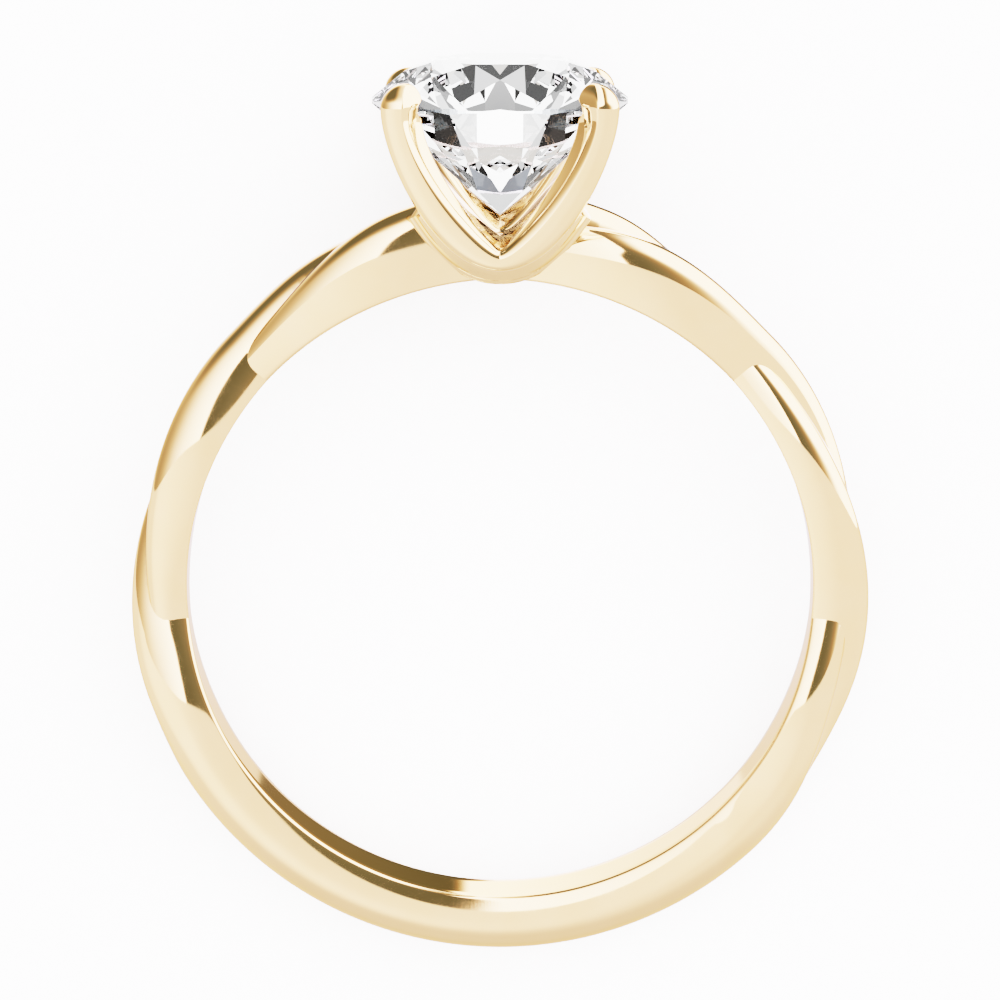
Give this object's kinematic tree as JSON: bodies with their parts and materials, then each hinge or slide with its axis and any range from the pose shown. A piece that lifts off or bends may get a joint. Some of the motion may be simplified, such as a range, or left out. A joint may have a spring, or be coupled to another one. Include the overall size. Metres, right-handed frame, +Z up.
{
  "type": "solitaire engagement ring",
  "caption": "Slim gold ring whose band twists on its upper half and rises to a prong head that holds one round brilliant stone. It lies on its side.",
  "frame": {"origin": "centre of the bounding box's base, on the surface the ring lies on", "axes": "+Y from the plain foot of the band to the stone, +Z up, away from the surface, +X across the ring; the finger hole's axis leans 6 degrees from +Z towards -Y"},
  "size_m": [0.0194, 0.0238, 0.0067],
  "materials": {
    "gold": "polished yellow gold",
    "diamond": "clear, colourless, flat polished facets"
  },
  "bodies": {
    "root": {"mounting": "gold", "stone": "diamond"}
  },
  "joints": []
}
